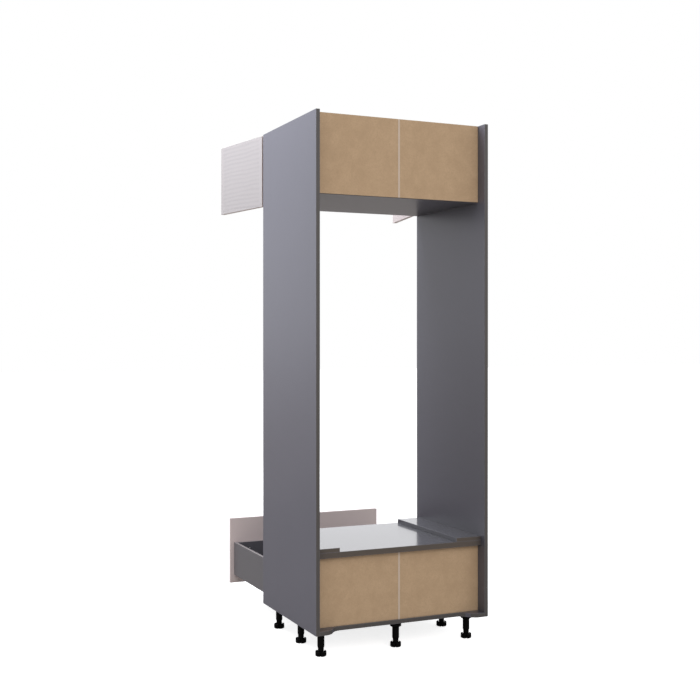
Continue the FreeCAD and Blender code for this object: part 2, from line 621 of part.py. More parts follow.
def cup_bore(z):
    """Pocket in the door for one cup."""
    return rod(at(CUP_U, -FRONT_BOARD - 1.0, z), (0, -1, 0), CUP_R + HOLE_PLAY,
               CUP_DEPTH + 1.0 + HOLE_PLAY)


def hinge_arm(z):
    """Mounting plate and arm on the side panel, with the arm's nose pin."""
    plate_v = (PLATE_V - PLATE_LENGTH / 2, PLATE_V + PLATE_LENGTH / 2)
    web_u = PANEL_U + PLATE_THICK + ARM_RISE
    plate = uv_block(PANEL_U, PANEL_U + PLATE_THICK, plate_v[0], plate_v[1],
                     z - ARM_OUTER, z + ARM_OUTER)
    wings = uv_block(PANEL_U, PANEL_U + PLATE_THICK, PLATE_V - 6.0, PLATE_V + 6.0,
                     z - PLATE_HEIGHT / 2, z + PLATE_HEIGHT / 2)
    wings = wings.makeFillet(4.0, [e for e in wings.Edges if e.BoundBox.XLength > 1.0])
    shell = uv_block(PANEL_U + PLATE_THICK, web_u, ARM_REAR_V, ARM_WEB_FRONT_V,
                     z - ARM_OUTER, z + ARM_OUTER)
    nose = uv_block(PANEL_U + PLATE_THICK + 0.4, ARM_PIN[0] + EYE_R, ARM_WEB_FRONT_V, ARM_PIN[1],
                    z - ARM_OUTER, z + ARM_OUTER)
    tip = upright(ARM_PIN[0], ARM_PIN[1], EYE_R, z - ARM_OUTER, z + ARM_OUTER)
    channel = uv_block(PANEL_U + PLATE_THICK - 1.0, web_u - ARM_WEB, ARM_REAR_V - 1.0,
                       ARM_WEB_FRONT_V, z - ARM_INNER, z + ARM_INNER)
    fork = uv_block(PANEL_U, web_u + 1.0, ARM_WEB_FRONT_V - 0.5, ARM_PIN[1] + EYE_R + 1.0,
                    z - ARM_INNER, z + ARM_INNER)
    pin = upright(ARM_PIN[0], ARM_PIN[1], PIN_R, z - ARM_OUTER, z + ARM_OUTER)
    arm = shell.fuse([nose, tip]).cut([channel, fork])
    body = arm.fuse([plate, wings, pin]).removeSplitter()
    return body.cut([screw_hole(*place) for place in plate_screws_of(1, z)])


def plate_screws_of(side, z):
    """The two screws of one mounting plate."""
    seat = at(PANEL_U + PLATE_THICK, PLATE_V, 0)
    length = PLATE_THICK + PLATE_SCREW_BITE
    return [((side * seat[0], seat[1], z + s * PLATE_SCREW_Z), (side, 0, 0), length)
            for s in (1, -1)]


def plate_screw_places(side):
    """Screws of both mounting plates on one panel."""
    return [place for z in HINGE_HEIGHTS for place in plate_screws_of(side, z)]


def swing_link(z):
    """Two cheeks on the arm's pin, joined by the knee pin."""
    knee = knee_pin()
    cheeks = [link_plate(ARM_PIN, knee, z + SWING_INNER, z + SWING_OUTER),
              link_plate(ARM_PIN, knee, z - SWING_OUTER, z - SWING_INNER)]
    pin = upright(knee[0], knee[1], PIN_R, z - SWING_OUTER, z + SWING_OUTER)
    hole = upright(ARM_PIN[0], ARM_PIN[1], PIN_R + PIN_PLAY, z - SWING_OUTER, z + SWING_OUTER)
    return cheeks[0].fuse([cheeks[1], pin]).cut(hole).removeSplitter()


def tie_link(z):
    """Block link from the knee pin to the pin in the cup."""
    knee = knee_pin()
    bar = link_plate(knee, CUP_PIN, z - TIE_HALF, z + TIE_HALF)
    holes = [upright(knee[0], knee[1], PIN_R + PIN_PLAY, z - TIE_HALF, z + TIE_HALF),
             upright(CUP_PIN[0], CUP_PIN[1], PIN_R + PIN_PLAY, z - TIE_HALF, z + TIE_HALF)]
    return bar.cut(holes)


def opened(shape, name, centre=PIVOT):
    """A right-hand piece turned open, then mirrored for the left-hand door."""
    return mirrored(turned(shape, centre, DOOR_OPEN[name]), SIDES[name])


def carried(shape, name):
    """The tie link keeps its direction and follows the cup's pin."""
    shut = V(*at(CUP_PIN[0], CUP_PIN[1], 0))
    arm = shut - PIVOT
    angle = math.radians(DOOR_OPEN[name])
    turned_arm = V(arm.x * math.cos(angle) - arm.y * math.sin(angle),
                   arm.x * math.sin(angle) + arm.y * math.cos(angle), 0)
    copy = shape.copy()
    copy.translate(turned_arm - arm)
    return mirrored(copy, SIDES[name])


def door(name):
    """Slab door with its two cup pockets and screw holes."""
    slab = softened(block(PIVOT.x - DOOR_WIDTH, PIVOT.x, DOOR_OUTER_Y, DOOR_INNER_Y,
                          DOOR_BOTTOM_Z, DOOR_TOP_Z), FRONT_ROUNDING)
    cuts = [cup_bore(z) for z in HINGE_HEIGHTS]
    cuts += [screw_hole(*place) for z in HINGE_HEIGHTS for place in cup_screw_places(z)]
    return opened(slab.cut(cuts), name)


def hinge_cups(name):
    """The door's two cups with their screws."""
    pieces = [hinge_cup(z) for z in HINGE_HEIGHTS]
    pieces += [screw(*place) for z in HINGE_HEIGHTS for place in cup_screw_places(z)]
    return Part.Compound([opened(piece, name) for piece in pieces])


# ---- drawer ------------------------------------------------------------------------------
def drawer_front():
    """Slab front, wider and taller than the drawer box."""
    bottom = BOTTOM_Z - DRAWER_FRONT_DROP
    half = HALF_WIDTH - FRONT_MARGIN
    slab = softened(block(-half, half, DRAWER_FRONT_Y - FRONT_BOARD, DRAWER_FRONT_Y, bottom,
                          SHELF_Z + DRAWER_FRONT_RISE), FRONT_ROUNDING)
    return slab.cut([screw_hole(*place) for place in front_screw_places()])


def front_screw_places():
    """Screws from inside the drawer box into its applied front."""
    heights = (DRAWER_BASE_TOP_Z + 30.0, DRAWER_BOX_TOP_Z - 30.0)
    length = DRAWER_SIDE + FRONT_SCREW_BITE
    return [((x, DRAWER_FRONT_Y + DRAWER_SIDE, z), (0, -1, 0), length)
            for x in spread(-DRAWER_INNER_X, DRAWER_INNER_X, 60.0, 3) for z in heights]


def drawer_side(side):
    """Side of the drawer box, which hangs below the base outside the runner."""
    shape = softened(block(DRAWER_INNER_X, DRAWER_SIDE_X, DRAWER_FRONT_Y, DRAWER_REAR_Y,
                           DRAWER_BOX_Z, DRAWER_BOX_TOP_Z), EDGE_SOFTENING)
    return mirrored(shape, side)


def drawer_box_front():
    """Inner front of the drawer box, behind the applied front."""
    shape = softened(block(-DRAWER_INNER_X, DRAWER_INNER_X, DRAWER_FRONT_Y,
                           DRAWER_FRONT_Y + DRAWER_SIDE, DRAWER_BOX_Z, DRAWER_BOX_TOP_Z),
                     EDGE_SOFTENING)
    return shape.cut([screw_hole(*place) for place in front_screw_places()])


def drawer_base():
    """Base board between the sides."""
    return block(-DRAWER_INNER_X, DRAWER_INNER_X, DRAWER_FRONT_Y + DRAWER_SIDE, DRAWER_REAR_Y,
                 DRAWER_BASE_Z, DRAWER_BASE_TOP_Z)


def drawer_box_back():
    """Back of the drawer box, standing on the base and lower than the sides."""
    return softened(block(-DRAWER_INNER_X, DRAWER_INNER_X, DRAWER_REAR_Y - DRAWER_SIDE,
                          DRAWER_REAR_Y, DRAWER_BASE_TOP_Z, DRAWER_BOX_TOP_Z - DRAWER_BACK_DROP),
                    EDGE_SOFTENING)


# ---- runners: w is the distance from the panel, h the height above the bottom board -------
def rail(w0, w1, h0, h1, y0, length):
    """One flat of a right-hand runner."""
    return block(INNER_X - w1, INNER_X - w0, y0, y0 + length, BOTTOM_TOP_Z + h0, BOTTOM_TOP_Z + h1)


def cabinet_runner(side):
    """Runner fixed to the panel: a flange, and a tray that carries the channel inboard."""
    y0 = RUNNER_FRONT_Y
    foot = RUNNER_FOOT_GAP
    inner_w = RUNNER_INSET + RUNNER_WIDTH
    tray = rail(0, inner_w, foot, foot + RUNNER_STEEL, y0, RUNNER_LENGTH)
    uprights = [rail(0, RUNNER_STEEL, foot, RUNNER_FLANGE_TOP, y0, RUNNER_LENGTH),
                rail(RUNNER_INSET, RUNNER_INSET + RUNNER_STEEL, foot, RUNNER_LIP_TOP, y0,
                     RUNNER_LENGTH),
                rail(inner_w - RUNNER_STEEL, inner_w, foot, RUNNER_LIP_TOP, y0, RUNNER_LENGTH)]
    shape = mirrored(tray.fuse(uprights).removeSplitter(), side)
    return shape.cut([screw_hole(*place) for place in runner_screw_places(side)])


def middle_runner(side):
    """Runner that moves half as far as the drawer: a channel with lips over the top rail."""
    y0 = RUNNER_FRONT_Y - DRAWER_OPEN / 2
    w0 = MIDDLE_OUTER_W
    w1 = MIDDLE_INNER_W
    h0 = MIDDLE_FLOOR_H
    h1 = MIDDLE_TOP_H
    steel = RUNNER_STEEL
    flats = [rail(w0, w0 + steel, h0, h1, y0, RUNNER_LENGTH),
             rail(w1 - steel, w1, h0, h1, y0, RUNNER_LENGTH),
             rail(w0, w0 + MIDDLE_LIP, h1 - steel, h1, y0, RUNNER_LENGTH),
             rail(w1 - MIDDLE_LIP, w1, h1 - steel, h1, y0, RUNNER_LENGTH)]
    floor = rail(w0, w1, h0, h0 + steel, y0, RUNNER_LENGTH)
    return mirrored(floor.fuse(flats).removeSplitter(), side)


def top_rail(side):
    """Runner under the drawer base: a foot caught under the lips, a stem and a top plate."""
    y0 = RUNNER_FRONT_Y - DRAWER_OPEN
    steel = RUNNER_STEEL
    play = TOP_RAIL_PLAY
    middle_w = (MIDDLE_OUTER_W + MIDDLE_INNER_W) / 2
    foot_h = MIDDLE_FLOOR_H + steel + play
    plate_h = RUNNER_ZONE - steel
    foot = rail(MIDDLE_OUTER_W + steel + play, MIDDLE_INNER_W - steel - play, foot_h,
                foot_h + steel, y0, RUNNER_LENGTH)
    stem = rail(middle_w - TOP_RAIL_STEM / 2, middle_w + TOP_RAIL_STEM / 2, foot_h, plate_h + steel,
                y0, RUNNER_LENGTH)
    plate = rail(RUNNER_INSET + TOP_RAIL_PLATE_FROM, RUNNER_INSET + TOP_RAIL_PLATE_TO, plate_h,
                 RUNNER_ZONE, y0, RUNNER_LENGTH)
    return mirrored(foot.fuse([stem, plate]).removeSplitter(), side)


def runner_screw_places(side):
    """Screws through the cabinet runner's flange into the panel."""
    x = side * (INNER_X - RUNNER_STEEL)
    z = BOTTOM_TOP_Z + RUNNER_SCREW_Z
    length = RUNNER_STEEL + RUNNER_SCREW_BITE
    return [((x, y, z), (side, 0, 0), length)
            for y in spread(RUNNER_FRONT_Y, RUNNER_FRONT_Y + RUNNER_LENGTH, 33.0, 3)]


# ---- build -------------------------------------------------------------------------------
def build_carcass():
    dowels, cams, bolts, holes = joint_fittings()
    for name, side in SIDES.items():
        export(name + "_side_panel", side_panel(side, holes))
        export(name + "_oven_batten", oven_batten(name))
        export("upper_back_" + name, back_half(side, UPPER_BACK_Z, TOP_Z))
        export("lower_back_" + name, back_half(side, BOTTOM_TOP_Z, SHELF_Z))
    export("bottom_board", bottom_board(holes))
    export("oven_shelf", oven_shelf(holes))
    export("cupboard_floor", cross_board("cupboard_floor", holes))
    export("top_board", cross_board("top_board", holes))
    export("upper_back_strip", joint_strip(UPPER_BACK_Z, TOP_Z, CUPBOARD_FLOOR_Z + BOARD,
                                           TOP_Z - BOARD))
    export("lower_back_strip", joint_strip(BOTTOM_TOP_Z, SHELF_Z, BOTTOM_TOP_Z, SHELF_Z))
    export("carcass_dowels", Part.Compound(dowels))
    export("carcass_cams", Part.Compound(cams))
    export("carcass_cam_bolts", Part.Compound(bolts))
    export("batten_screws", Part.Compound([screw(*place) for place in batten_screw_places()]))


def build_legs():
    for name, (x, y) in LEG_PLACES.items():
        export("leg_socket_" + name, leg_socket(x, y))
        export("leg_foot_" + name, leg_foot(x, y))
    export("leg_socket_screws", Part.Compound([screw(*place) for place in socket_screw_places()]))


def build_doors():
    arm_pin = V(*at(ARM_PIN[0], ARM_PIN[1], 0))
    plate_screws = []
    for name, side in SIDES.items():
        export(name + "_door", door(name))
        export(name + "_hinge_cups", hinge_cups(name))
        arms = [mirrored(hinge_arm(z), side) for z in HINGE_HEIGHTS]
        export(name + "_hinge_arms", Part.Compound(arms))
        swings = [opened(swing_link(z), name, arm_pin) for z in HINGE_HEIGHTS]
        export(name + "_swing_links", Part.Compound(swings))
        ties = [carried(tie_link(z), name) for z in HINGE_HEIGHTS]
        export(name + "_tie_links", Part.Compound(ties))
        plate_screws += [screw(*place) for place in plate_screw_places(side)]
    export("hinge_arm_screws", Part.Compound(plate_screws))


def build_drawer():
    runner_screws = []
    for name, side in SIDES.items():
        export(name + "_drawer_side", drawer_side(side))
        export(name + "_cabinet_runner", cabinet_runner(side))
        export(name + "_middle_runner", middle_runner(side))
        export(name + "_drawer_runner", top_rail(side))
        runner_screws += [screw(*place) for place in runner_screw_places(side)]
    export("drawer_front", drawer_front())
    export("drawer_box_front", drawer_box_front())
    export("drawer_box_back", drawer_box_back())
    export("drawer_base", drawer_base())
    export("runner_screws", Part.Compound(runner_screws))
    front_screws = [screw(*place, FRONT_SCREW_HEAD_R) for place in front_screw_places()]
    export("drawer_front_screws", Part.Compound(front_screws))


os.makedirs("parts", exist_ok=True)
build_carcass()
build_legs()
build_doors()
build_drawer()
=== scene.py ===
import math

import bpy
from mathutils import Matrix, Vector

# Tall oven housing unit: grey melamine carcass, bare fibreboard backs, pale grained fronts,
# black adjustable legs. Metres, floor at Z = 0, the doors face -Y.

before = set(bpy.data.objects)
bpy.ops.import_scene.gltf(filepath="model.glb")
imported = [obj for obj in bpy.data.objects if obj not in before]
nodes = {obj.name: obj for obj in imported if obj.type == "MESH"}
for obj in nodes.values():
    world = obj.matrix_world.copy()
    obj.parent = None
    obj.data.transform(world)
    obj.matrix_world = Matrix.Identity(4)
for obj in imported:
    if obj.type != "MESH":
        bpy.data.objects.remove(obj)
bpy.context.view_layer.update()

# ---- colours, in linear RGB ----------------------------------------------------------------
# A pair is a finish's main tone and the shade that clouds it.
CARCASS_GREY = (0.128, 0.128, 0.160), (0.120, 0.120, 0.150)
CARCASS_BAND = (0.086, 0.081, 0.079)
SHELF_BAND = (0.104, 0.088, 0.076)
DRAWER_GREY = (0.108, 0.106, 0.122), (0.102, 0.100, 0.115)
# painted highlight on the drawer box's upward top edges
DRAWER_TOP_HIGHLIGHT = (0.30, 0.275, 0.28)
FRONT_PLAIN = (0.67, 0.585, 0.58), (0.64, 0.555, 0.55)
FRONT_DECOR = (0.41, 0.385, 0.384)
FRONT_LINE = (0.36, 0.34, 0.342)
FRONT_DIRT = (0.12, 0.09, 0.08)
BACK_TAN = (0.42, 0.285, 0.17), (0.53, 0.37, 0.23)
BACK_FLECK = (0.35, 0.235, 0.14)
BACK_SHADOW = (0.16, 0.10, 0.06)
BACK_DIRT = (0.10, 0.06, 0.035)
# painted highlight on the fibreboard's outer corners
BACK_CORNER_HIGHLIGHT = (0.62, 0.46, 0.30)
STRIP_BEIGE = (0.52, 0.43, 0.35), (0.49, 0.40, 0.32)
LEG_BLACK = (0.0014, 0.0014, 0.0015), (0.0022, 0.0022, 0.0024)
NICKEL_GREY = (0.66, 0.64, 0.60), (0.56, 0.54, 0.51)
ZINC_GREY = (0.52, 0.52, 0.52), (0.42, 0.42, 0.43)
CAST_GREY = (0.45, 0.45, 0.46), (0.36, 0.36, 0.37)
BEECH_BROWN = (0.50, 0.32, 0.17), (0.62, 0.43, 0.25)
# the same share is left in the painted shade of the melamine's inner corners
DARKENED = 0.3                  # share of a colour that is left where pieces meet

# ---- fronts, as they stand at rest ---------------------------------------------------------
FORWARD = (0.0, -1.0, 0.0)
ACROSS = (1.0, 0.0, 0.0)
FRONT_HALF_WIDTH = 0.3795
DOOR_WIDTH = 0.378
DOOR_POLE = (FRONT_HALF_WIDTH, -0.3185)     # the line a door turns about, on its own side
RIGHT_DOOR_OPEN = 99.9                      # degrees from shut
LEFT_DOOR_OPEN = 101.6
GRAIN_SPACING = 0.0185
GRAIN_WAVINESS = 0.045

# ---- studio --------------------------------------------------------------------------------
CAMERA_SPOT = (1.9983, 4.2057, 1.2276)
CAMERA_AIM = (-0.41051, -0.91186, 0.0)
CAMERA_LENS = 56.99             # millimetres, as is the sensor
CAMERA_SENSOR = 36.0
CAMERA_RISE = -0.01256          # shift of the picture, as a share of its width
LAMPS = (
    # name, place, target, size, watts, colour, seen in reflections
    ("side_window", (1.6, -0.4, 3.05), (0.38, 0.0, 1.95), (1.3, 1.3), 46.0,
     (0.91, 0.93, 1.0), True),
    ("rear_fill", (0.8, 5.5, 3.2), (0.0, 0.0, 1.1), (3.5, 2.5), 88.0,
     (1.0, 0.93, 0.87), False),
    ("front_fill", (0.6, -5.5, 3.2), (0.0, 0.0, 1.1), (6.0, 4.0), 145.0,
     (0.94, 0.97, 1.0), False),
)
WHITE = (1.0, 1.0, 1.0)
SKY_FILL = 0.66                 # strength of the light from all round
SKY_FILL_COLOUR = (0.97, 0.98, 1.0)
SKY_MIRRORED = (0.98, 0.98, 1.0)
FLOOR_HALF_SIZE = 40
FLOOR_LIFT = 0.8                # glow that only the camera sees, so that the floor looks white
FLOOR_SEEN = (0.92, 0.92, 0.92)
FLOOR_PLAIN = (0.50, 0.46, 0.42)
FLOOR_CLOUD = (0.30, 0.29, 0.28)
FLOOR_CLOUD_SHARE = 0.1
# the floor as seen in reflections: painted shade near the unit, painted light further off
FLOOR_MIRRORED_NEAR = (0.30, 0.275, 0.255)
FLOOR_MIRRORED_FAR = (0.80, 0.73, 0.68)
FLOOR_FADE_START = 4.0          # metres from the unit's middle
FLOOR_FADE_LENGTH = 6.0

FLOAT = "NodeSocketFloat"
VECTOR = "NodeSocketVector"


# ---- node helpers --------------------------------------------------------------------------
def feed(tree, socket, value):
    """Gives a socket a link, a plain number, a direction or a plain colour."""
    if isinstance(value, bpy.types.NodeSocket):
        tree.links.new(value, socket)
    elif socket.type == "RGBA":
        socket.default_value = (*value, 1.0)
    else:
        socket.default_value = value


def fit(tree, node, **values):
    """Sets a node's inputs; in their names _ stands for a space."""
    for label, value in values.items():
        feed(tree, node.inputs[label.replace("_", " ")], value)


def add(tree, kind, **settings):
    """A node with its attributes and inputs set."""
    node = tree.nodes.new(kind)
    for key, value in settings.items():
        if hasattr(node, key):
            setattr(node, key, value)
        else:
            fit(tree, node, **{key: value})
    return node


def tree_of(name):
    """A new material and its node tree, with an output and a Principled shader."""
    material = bpy.data.materials.new(name)
    material.use_nodes = True
    tree = material.node_tree
    tree.nodes.clear()
    skin = add(tree, "ShaderNodeBsdfPrincipled")
    add(tree, "ShaderNodeOutputMaterial", Surface=skin.outputs["BSDF"])
    return material, tree, skin


def maths(tree, operation, first, second=0.0, clamp=False):
    """A math node fed by links or plain numbers."""
    node = add(tree, "ShaderNodeMath", operation=operation, use_clamp=clamp)
    feed(tree, node.inputs[0], first)
    feed(tree, node.inputs[1], second)
    return node.outputs[0]


def mixed(tree, share, first, second):
    """Mixes two colours, each a link or a plain colour."""
    node = add(tree, "ShaderNodeMix", data_type="RGBA")
    for index, value in ((0, share), (6, first), (7, second)):
        feed(tree, node.inputs[index], value)
    return node.outputs[2]


def between(tree, value, low, high):
    """Maps 0..1 to a range."""
    return add(tree, "ShaderNodeMapRange", Value=value, To_Min=low, To_Max=high).outputs[0]


def noise(tree, spot, scale, detail, roughness, stretch=None, distortion=0.0):
    """Soft noise, squeezed or drawn out along each axis if a stretch is given."""
    if stretch:
        spot = add(tree, "ShaderNodeMapping", Vector=spot, Scale=stretch).outputs[0]
    cloud = add(tree, "ShaderNodeTexNoise", Vector=spot, Scale=scale, Detail=detail,
                Roughness=roughness, Distortion=distortion)
    return cloud.outputs["Fac"]


def dot(tree, first, second):
    """How far one direction runs along another."""
    node = add(tree, "ShaderNodeVectorMath", operation="DOT_PRODUCT")
    feed(tree, node.inputs[0], first)
    feed(tree, node.inputs[1], second)
    return node.outputs["Value"]


def own(tree, kind):
    """A piece's own place ("Object") or the direction its surface faces ("Normal")."""
    return add(tree, "ShaderNodeTexCoord").outputs[kind]


def axis_of(tree, direction, axis):
    """One of the three numbers of a place or direction."""
    return add(tree, "ShaderNodeSeparateXYZ", Vector=direction).outputs[axis]


def bump(tree, height, depth, strength):
    """The normal that a height gives."""
    return add(tree, "ShaderNodeBump", Strength=strength, Distance=depth,
               Height=height).outputs[0]


def group(name, inputs, outputs):
    """An empty shader node group, what it is given, by name, and its output node."""
    made = bpy.data.node_groups.new(name, "ShaderNodeTree")
    for label, kind, value in inputs:
        socket = made.interface.new_socket(name=label, in_out="INPUT", socket_type=kind)
        socket.default_value = value
    for label in outputs:
        made.interface.new_socket(name=label, in_out="OUTPUT", socket_type=FLOAT)
    given = made.nodes.new("NodeGroupInput")
    return made, given.outputs, made.nodes.new("NodeGroupOutput")


def place(tree, made, **values):
    """Puts a group into a material with its own values, and returns what it puts out."""
    return add(tree, "ShaderNodeGroup", node_tree=made, **values).outputs


# ---- shared effects ------------------------------------------------------------------------
def pore_texture():
    """Fine pressed texture of melamine and moulded plastic: a height and a faint tone."""
    made, given, out = group("pore_texture",
                             (("Pore size", FLOAT, 0.001), ("Cloud size", FLOAT, 0.2)),
                             ("Height", "Tone"))
    spot = own(made, "Object")
    pores, clouds = (maths(made, "DIVIDE", 1.0, given[label])
                     for label in ("Pore size", "Cloud size"))
    fit(made, out, Height=noise(made, spot, pores, detail=3.0, roughness=0.6),
        Tone=noise(made, spot, clouds, detail=2.0, roughness=0.5))
    return made


def rim_darkening():
    """Masks where pieces meet ("Crease"), for dark lines and painted shade, and on outer corners
    ("Corner"), for a painted highlight.
    """
    made, given, out = group("rim_darkening", (("Width", FLOAT, 0.004),), ("Crease", "Corner"))
    for label in ("Crease", "Corner"):
        near = add(made, "ShaderNodeAmbientOcclusion", samples=4, inside=label == "Corner",
                   Distance=given["Width"])
        fit(made, out, **{label: maths(made, "SUBTRACT", 1.0, near.outputs["AO"], clamp=True)})
    return made


def wavy_grain():
    """Long wavy lines across a front, on its outer face only, fading out at its upright edges."""
    made, given, out = group("wavy_grain",
                             (("Line spacing", FLOAT, 0.02), ("Waviness", FLOAT, 0.02),
                              ("Outward", VECTOR, FORWARD), ("Across", VECTOR, ACROSS),
                              ("Near edge", FLOAT, 0.0), ("Far edge", FLOAT, 1.0)),
                             ("Line", "Fibre", "Outside"))
    plain_rim, fade = 0.016, 0.012      # metres from an upright edge
    sharpness, faintest, strongest = 1.6, 0.2, 1.5
    outer_face = 0.9
    spot = own(made, "Object")
    drift = noise(made, spot, 1.0, detail=2.0, roughness=0.55, stretch=(2.6, 2.6, 7.0))
    lift = maths(made, "MULTIPLY", maths(made, "SUBTRACT", drift, 0.5), given["Waviness"])
    height = maths(made, "ADD", axis_of(made, spot, "Z"), lift)
    lines = maths(made, "DIVIDE", height, given["Line spacing"])
    wave = maths(made, "SINE", maths(made, "MULTIPLY", lines, 2 * math.pi))
    wave = maths(made, "ADD", maths(made, "MULTIPLY", wave, 0.5), 0.5)
    strength = noise(made, spot, 1.0, detail=2.0, roughness=0.55, stretch=(5.0, 5.0, 30.0))
    line = maths(made, "MULTIPLY", maths(made, "POWER", wave, sharpness),
                 between(made, strength, faintest, strongest))
    along = dot(made, spot, given["Across"])
    to_edge = maths(made, "MINIMUM", maths(made, "SUBTRACT", along, given["Near edge"]),
                    maths(made, "SUBTRACT", given["Far edge"], along))
    inside = maths(made, "DIVIDE", maths(made, "SUBTRACT", to_edge, plain_rim), fade, clamp=True)
    facing = dot(made, own(made, "Normal"), given["Outward"])
    fit(made, out, Line=maths(made, "MULTIPLY", line, inside, clamp=True),
        Fibre=noise(made, spot, 1.0, detail=4.0, roughness=0.55, stretch=(12.0, 12.0, 380.0)),
        Outside=maths(made, "GREATER_THAN", facing, outer_face))
    return made


def pressed_fibre():
    """Mottle and loose fibres of thin pressed board."""
    made, given, out = group("pressed_fibre", (("Fibre size", FLOAT, 0.004),),
                             ("Blotch", "Fleck"))
    spot = own(made, "Object")
    fibres = maths(made, "DIVIDE", 1.0, given["Fibre size"])
    fit(made, out, Blotch=noise(made, spot, 16.0, detail=5.0, roughness=0.62),
        Fleck=noise(made, spot, fibres, detail=5.0, roughness=0.75, distortion=0.6))
    return made


def drawn_lines():
    """Fine rolling lines along Y on steel."""
    made, given, out = group("drawn_lines", (("Fineness", FLOAT, 900.0),), ("Line", "Patch"))
    spot = own(made, "Object")
    fit(made, out, Line=noise(made, spot, given["Fineness"], detail=3.0, roughness=0.6,
                              stretch=(1.0, 0.01, 1.0)),
        Patch=noise(made, spot, 60.0, detail=3.0, roughness=0.5))
    return made


PORES = pore_texture()
RIMS = rim_darkening()
GRAIN = wavy_grain()
FIBRES = pressed_fibre()
LINES = drawn_lines()


# ---- finishes ------------------------------------------------------------------------------
FACING = 0.7                    # a normal's share along an axis, for a face square to it


def banded_edge(tree):
    """1 on a board's front and rear edges, which carry a strip of their own."""
    forward = maths(tree, "ABSOLUTE", axis_of(tree, own(tree, "Normal"), "Y"))
    return maths(tree, "GREATER_THAN", forward, FACING)


def upward(tree):
    """1 on faces that look straight up."""
    return maths(tree, "GREATER_THAN", axis_of(tree, own(tree, "Normal"), "Z"), FACING)


def scaled(colour, share):
    """A colour made darker or lighter."""
    return tuple(part * share for part in colour)


def marked(tree, tone, kind, width, share, colour):
    """Mixes a colour in where pieces meet ("Crease") or on outer corners ("Corner")."""
    mask = maths(tree, "MULTIPLY", place(tree, RIMS, Width=width)[kind], share)
    return mixed(tree, mask, tone, colour)


def drawer_melamine(tones, top):
    """Thinner melamine board of the drawer box: satin faces, and a painted highlight as a dull
    pale strip on its top edges.
    """
    material, tree, skin = tree_of("drawer_melamine")
    pores = place(tree, PORES, Pore_size=0.0009, Cloud_size=0.3)
    edge = upward(tree)
    # painted highlight: the upward faces, the top edges, get the pale colour
    tone = mixed(tree, edge, mixed(tree, pores["Tone"], *tones), top)
    tone = marked(tree, tone, "Crease", width=0.004, share=0.6, colour=scaled(tones[0], DARKENED))
    fit(tree, skin, Base_Color=tone, Roughness=between(tree, pores["Height"], 0.34, 0.42),
        Normal=bump(tree, pores["Height"], depth=0.00003, strength=0.5),
        Coat_Weight=maths(tree, "SUBTRACT", 1.0, edge), Coat_Roughness=0.34,
        Specular_IOR_Level=0.1)
    return material


def melamine(name, tones, low, high, lacquer=0.0, band=None):
    """Smooth coloured melamine: even tone, faint clouds, satin gloss between two roughnesses,
    dark meeting lines, painted shade in the inner corners and a painted highlight on the outer
    corners. A lacquer lies on upward faces, a band on the front and rear edges."""
    material, tree, skin = tree_of(name)
    pores = place(tree, PORES, Pore_size=0.0009, Cloud_size=0.35)
    dark, light = scaled(tones[0], DARKENED), scaled(tones[0], 2.2)
    tone = mixed(tree, pores["Tone"], *tones)
    if band:
        tone = mixed(tree, banded_edge(tree), tone, band)
    # painted shade: darkens the colour up to 0.13 m from where pieces meet, deepest in the inner
    # corners
    tone = marked(tree, tone, "Crease", width=0.13, share=0.9, colour=dark)
    tone = marked(tree, tone, "Crease", width=0.004, share=0.6, colour=dark)
    # painted highlight: a lighter line along the outer corners
    tone = marked(tree, tone, "Corner", width=0.0025, share=0.5, colour=light)
    fit(tree, skin, Base_Color=tone, Roughness=between(tree, pores["Height"], low, high),
        Normal=bump(tree, pores["Height"], depth=0.00003, strength=0.5), IOR=1.5)
    if lacquer:
        fit(tree, skin, Coat_Weight=maths(tree, "MULTIPLY", upward(tree), lacquer),
            Coat_Roughness=0.13, Coat_IOR=1.7)
    return material


def grained_front(name, outward, across, near, far):
    """Front board: pale wavy-grained decor outside, plain taupe behind and on the edges."""
    material, tree, skin = tree_of(name)
    grain = place(tree, GRAIN, Line_spacing=GRAIN_SPACING, Waviness=GRAIN_WAVINESS,
                  Outward=outward, Across=across, Near_edge=near, Far_edge=far)
    pores = place(tree, PORES, Pore_size=0.0008, Cloud_size=0.25)
    decor = mixed(tree, grain["Line"], FRONT_DECOR, FRONT_LINE)
    decor = mixed(tree, between(tree, grain["Fibre"], -0.15, 0.5), decor, FRONT_LINE)
    tone = mixed(tree, grain["Outside"], mixed(tree, pores["Tone"], *FRONT_PLAIN), decor)
    tone = marked(tree, tone, "Crease", width=0.003, share=0.5, colour=FRONT_DIRT)
    relief = maths(tree, "SUBTRACT", maths(tree, "MULTIPLY", pores["Height"], 0.15),
                   maths(tree, "MULTIPLY", grain["Line"], grain["Outside"]))
    fit(tree, skin, Base_Color=tone, Roughness=between(tree, pores["Height"], 0.34, 0.46),
        Normal=bump(tree, relief, depth=0.00015, strength=0.8), IOR=1.48)
    return material


def fibreboard():
    """Bare thin pressed board: warm tan, faint mottle and flecks, dull, with painted shade in its
    inner corners and a painted highlight on its outer corners.
    """
    material, tree, skin = tree_of("fibreboard")
    fibres = place(tree, FIBRES, Fibre_size=0.0055)
    tone = mixed(tree, between(tree, fibres["Blotch"], -1.0, 2.0), *BACK_TAN)
    tone = mixed(tree, between(tree, fibres["Fleck"], -1.5, 1.9), tone, BACK_FLECK)
    tone = marked(tree, tone, "Crease", width=0.10, share=0.2, colour=BACK_SHADOW)
    tone = marked(tree, tone, "Crease", width=0.006, share=0.75, colour=BACK_DIRT)
    # painted highlight: a lighter tan along the outer corners
    tone = marked(tree, tone, "Corner", width=0.006, share=0.5, colour=BACK_CORNER_HIGHLIGHT)
    fit(tree, skin, Base_Color=tone, Roughness=between(tree, fibres["Fleck"], 0.62, 0.82),
        Normal=bump(tree, fibres["Fleck"], depth=0.0001, strength=0.6), IOR=1.4)
    return material


